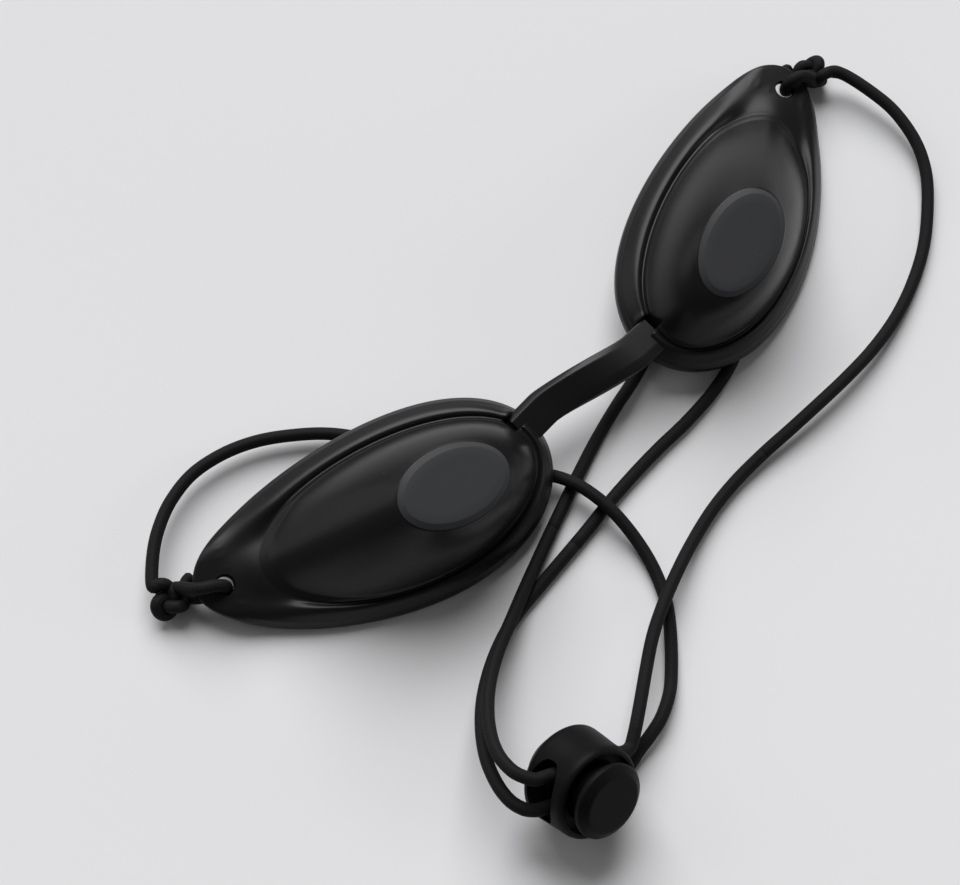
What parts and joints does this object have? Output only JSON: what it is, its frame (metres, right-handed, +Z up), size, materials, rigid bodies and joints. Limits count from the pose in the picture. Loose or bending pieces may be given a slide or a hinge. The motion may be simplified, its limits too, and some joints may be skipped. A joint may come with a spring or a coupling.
{
  "type": "protective eye mask",
  "caption": "Soft protective eye mask with teardrop eye cups, oval windows, a flexible nose bridge and an elastic cord with a spring cord lock.",
  "frame": {"origin": "centre of the mask's footprint, without the cord and lock, on the plane that it lies on", "axes": "+X towards the right-hand cup, +Y towards the forehead, +Z up out of the windows"},
  "size_m": [0.1664, 0.099, 0.0241],
  "materials": {
    "rubber": "satin black moulded soft plastic",
    "window": "flat dark grey matte plate",
    "elastic": "black covered elastic cord",
    "lock_plastic": "satin black plastic",
    "spring_steel": "plain drawn steel wire"
  },
  "bodies": {
    "left_side": {"left_cup": "rubber", "left_window": "window", "nose_bridge": "rubber", "left_knot": "elastic", "cord_left": "elastic", "cord_right": "elastic", "cord_loop": "elastic"},
    "right_side": {"right_cup": "rubber", "right_window": "window", "right_knot": "elastic"},
    "lock": {"lock_body": "lock_plastic", "strand_upper": "elastic", "strand_lower": "elastic", "lock_spring": "spring_steel"},
    "plunger": {"lock_plunger": "lock_plastic"}
  },
  "joints": [
    {"name": "bridge_flex", "type": "hinge", "parent": "left_side", "child": "right_side", "pos_m": [0, 0, 0.009], "axis": [0, 1, 0], "range_deg": [-12, 30], "stiffness_Nm_per_rad": 0.05, "deforming": ["nose_bridge", "cord_right", "cord_loop"]},
    {"name": "lock_slide", "type": "slide", "parent": "left_side", "child": "lock", "axis": [0.9402, -0.3405, 0], "range_m": [-0.008, 0.008], "deforming": ["cord_left", "cord_right", "cord_loop"]},
    {"name": "plunger_press", "type": "slide", "parent": "lock", "child": "plunger", "axis": [-0.0148, 0.8498, -0.527], "range_m": [0, 0.0022], "stiffness_N_per_m": 900, "deforming": ["lock_spring"]}
  ]
}
